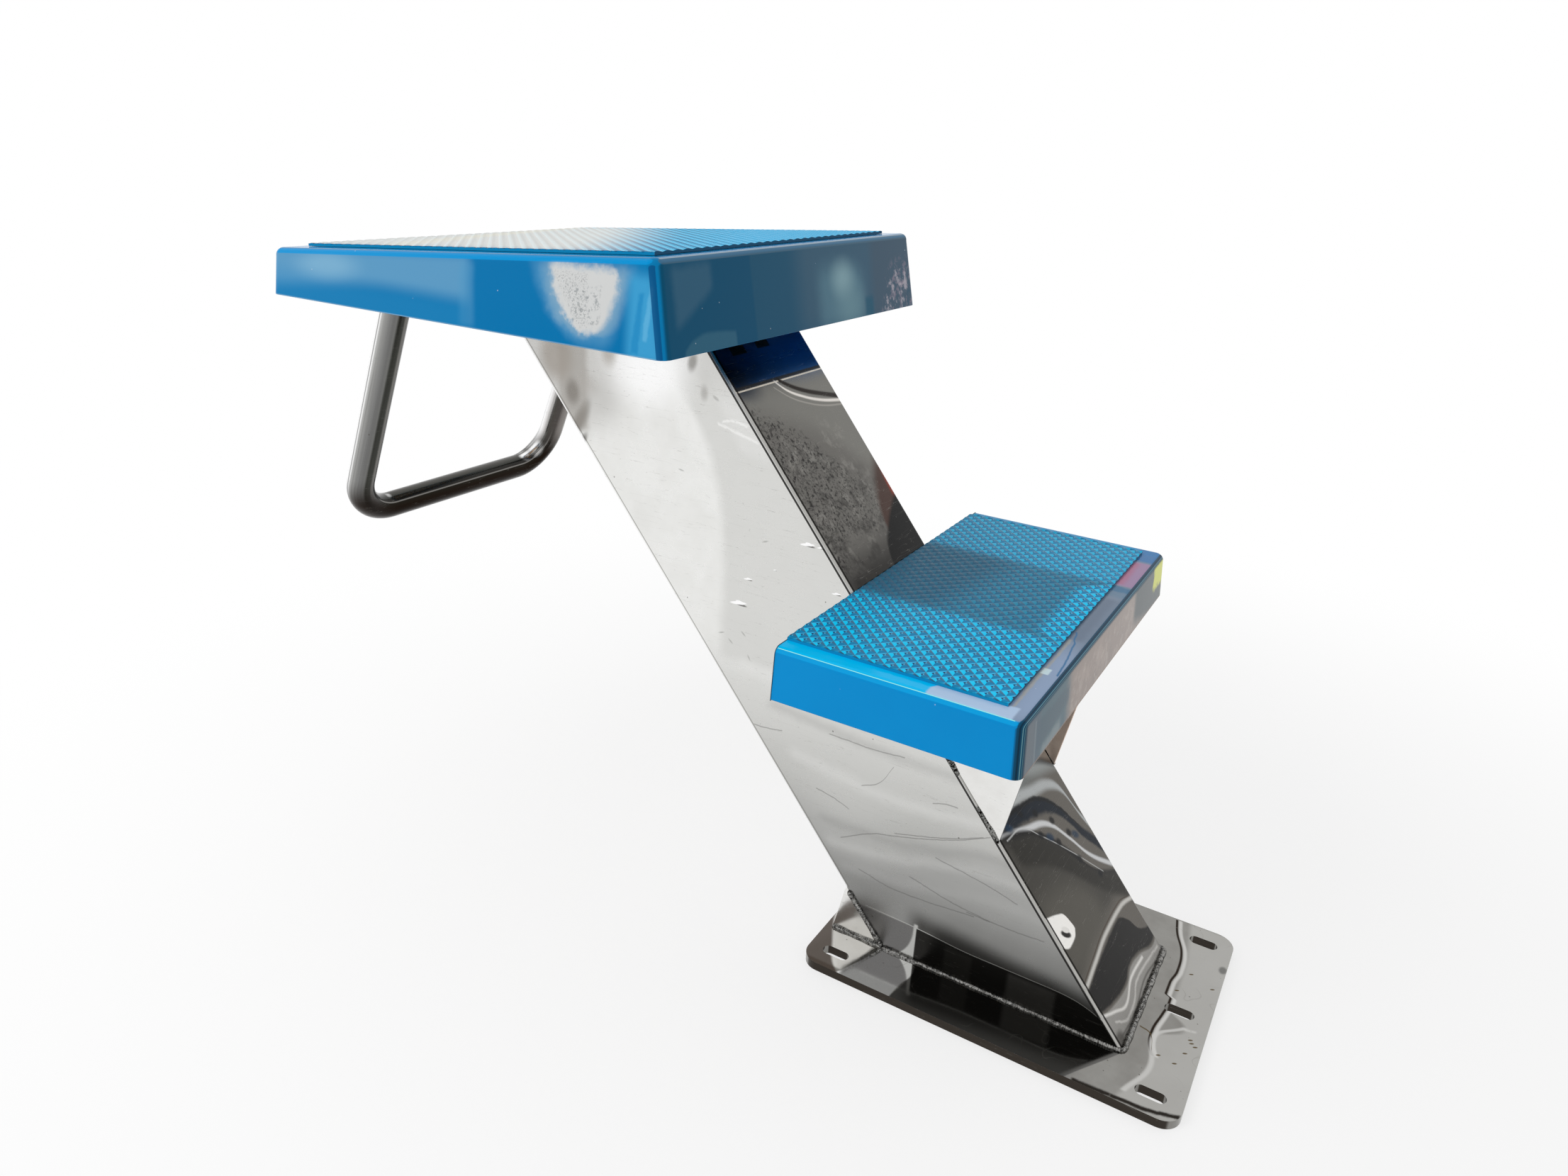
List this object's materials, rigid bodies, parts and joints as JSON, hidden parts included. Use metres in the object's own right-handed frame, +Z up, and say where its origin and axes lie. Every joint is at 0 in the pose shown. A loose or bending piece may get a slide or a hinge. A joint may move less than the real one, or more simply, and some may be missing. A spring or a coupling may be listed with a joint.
{
  "type": "swimming starting block",
  "caption": "Anchored swimming starting block: leaning stainless column, blue rear step, sloping blue platform with studded mats, and a backstroke handle.",
  "frame": {"origin": "centre of the anchor plate's underside, where it meets the pool deck", "axes": "+Z up; +X towards the pool, the way the swimmer dives; +Y to the swimmer's left; the block is the same on both sides of the XZ plane"},
  "size_m": [1.0581, 0.5, 0.731],
  "materials": {
    "polished_steel": "polished stainless steel",
    "satin_steel": "satin stainless steel",
    "tube_steel": "dull polished stainless tube",
    "bolt_steel": "plain stainless fasteners",
    "blue_gelcoat": "glossy blue gelcoat over glass fibre",
    "blue_mat": "blue moulded anti-slip mat",
    "plywood": "resin-sealed plywood"
  },
  "bodies": {
    "root": {"base_plate": "polished_steel", "column_channel": "satin_steel", "column_front_plate": "satin_steel", "front_gusset_left": "satin_steel", "front_gusset_right": "satin_steel", "step_gusset_left": "satin_steel", "step_gusset_right": "satin_steel", "step_support_tray": "satin_steel", "step_core_board": "plywood", "step_bolt_1": "bolt_steel", "step_bolt_2": "bolt_steel", "step_bolt_3": "bolt_steel", "step_bolt_4": "bolt_steel", "step_threaded_sleeve_1": "bolt_steel", "step_threaded_sleeve_2": "bolt_steel", "step_threaded_sleeve_3": "bolt_steel", "step_threaded_sleeve_4": "bolt_steel", "step_shell": "blue_gelcoat", "step_mat": "blue_mat", "platform_shell": "blue_gelcoat", "platform_core_board": "plywood", "column_head_flange": "satin_steel", "platform_bolt_1": "bolt_steel", "platform_bolt_2": "bolt_steel", "platform_bolt_3": "bolt_steel", "platform_bolt_4": "bolt_steel", "platform_bolt_5": "bolt_steel", "platform_bolt_6": "bolt_steel", "platform_threaded_sleeve_1": "bolt_steel", "platform_threaded_sleeve_2": "bolt_steel", "platform_threaded_sleeve_3": "bolt_steel", "platform_threaded_sleeve_4": "bolt_steel", "platform_threaded_sleeve_5": "bolt_steel", "platform_threaded_sleeve_6": "bolt_steel", "platform_mat": "blue_mat", "handle_flange_left": "satin_steel", "handle_flange_right": "satin_steel", "handle_bolt_1": "bolt_steel", "handle_bolt_2": "bolt_steel", "handle_bolt_3": "bolt_steel", "handle_bolt_4": "bolt_steel", "handle_threaded_sleeve_1": "bolt_steel", "handle_threaded_sleeve_2": "bolt_steel", "handle_threaded_sleeve_3": "bolt_steel", "handle_threaded_sleeve_4": "bolt_steel", "handle_tube": "tube_steel"}
  },
  "joints": []
}
